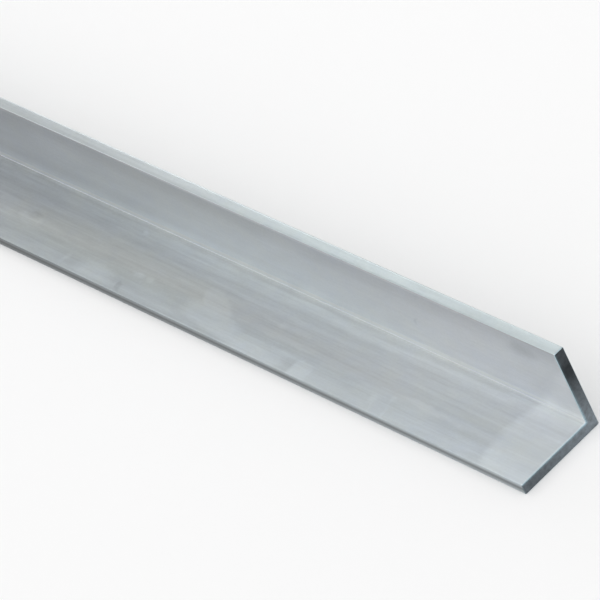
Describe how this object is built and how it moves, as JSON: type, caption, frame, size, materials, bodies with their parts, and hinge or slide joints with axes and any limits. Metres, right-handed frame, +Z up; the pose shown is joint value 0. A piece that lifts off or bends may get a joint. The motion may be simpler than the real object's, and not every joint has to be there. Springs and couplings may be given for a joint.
{
  "type": "metal angle section",
  "caption": "Equal leg angle section in mill-finish aluminium: a long L-shaped extrusion with sharp corners and square saw-cut ends, for framing, edging and brackets.",
  "frame": {"origin": "on the floor, halfway along the bar and under the middle of the lying leg", "axes": "+X along the bar, +Y from the lying leg's toe towards the heel and the standing leg's outer face, +Z up along the standing leg"},
  "size_m": [0.3048, 0.0254, 0.0254],
  "materials": {
    "mill_finish_aluminium": "mill finish, as extruded, with lengthwise die lines and saw-cut ends"
  },
  "bodies": {
    "root": {"angle_section": "mill_finish_aluminium"}
  },
  "joints": []
}
